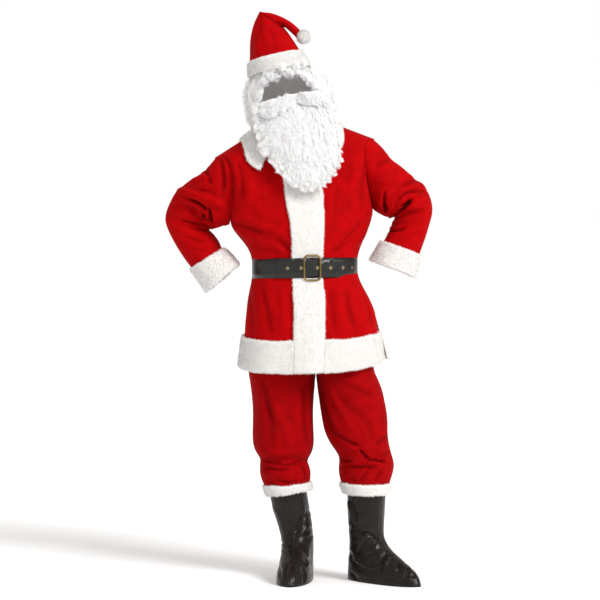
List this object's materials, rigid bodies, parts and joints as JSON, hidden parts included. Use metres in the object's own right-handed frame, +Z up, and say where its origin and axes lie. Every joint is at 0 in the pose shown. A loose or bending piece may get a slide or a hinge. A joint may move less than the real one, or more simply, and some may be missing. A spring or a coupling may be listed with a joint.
{
  "type": "santa suit, worn, with no wearer",
  "caption": "Belted red velour jacket and trousers with plush trim, pointed hat, curly wig and beard, and boot covers, holding a standing wearer's form.",
  "frame": {"origin": "in the middle of the wearer's body at the neck, 1.46 m above the floor that the boot covers stand on", "axes": "+Z up, the wearer faces -Y, +X towards the wearer's left hand"},
  "size_m": [0.9082, 0.4306, 1.894],
  "materials": {
    "velour_red": "stretch velour with a short soft nap",
    "plush_white": "long-pile plush",
    "hair_white": "curled synthetic fibre",
    "belt_black": "smooth coated imitation leather, satin",
    "vinyl_black": "coated vinyl cloth, satin",
    "brass": "antique brass plate"
  },
  "bodies": {
    "root": {"jacket_front_right": "velour_red", "jacket_front_left": "velour_red", "jacket_back": "velour_red", "sleeve_right": "velour_red", "sleeve_left": "velour_red", "waistband": "velour_red", "trousers_front_right": "velour_red", "trousers_front_left": "velour_red", "trousers_back_right": "velour_red", "trousers_back_left": "velour_red", "hat": "velour_red", "hem_trim_front_right": "plush_white", "hem_trim_front_left": "plush_white", "hem_trim_back": "plush_white", "front_trim": "plush_white", "cuff_right": "plush_white", "cuff_left": "plush_white", "collar": "plush_white", "trouser_cuff_right": "plush_white", "trouser_cuff_left": "plush_white", "hat_trim": "plush_white", "pompom": "plush_white", "wig": "hair_white", "wig_fringe": "hair_white", "beard": "hair_white", "moustache": "hair_white", "belt": "belt_black", "boot_cover_right_inner": "vinyl_black", "boot_cover_right_outer": "vinyl_black", "boot_cover_left_inner": "vinyl_black", "boot_cover_left_outer": "vinyl_black", "buckle": "brass", "prong": "brass", "eyelet_1": "brass", "eyelet_2": "brass", "eyelet_3": "brass", "eyelet_4": "brass", "eyelet_5": "brass", "eyelet_6": "brass"}
  },
  "joints": []
}
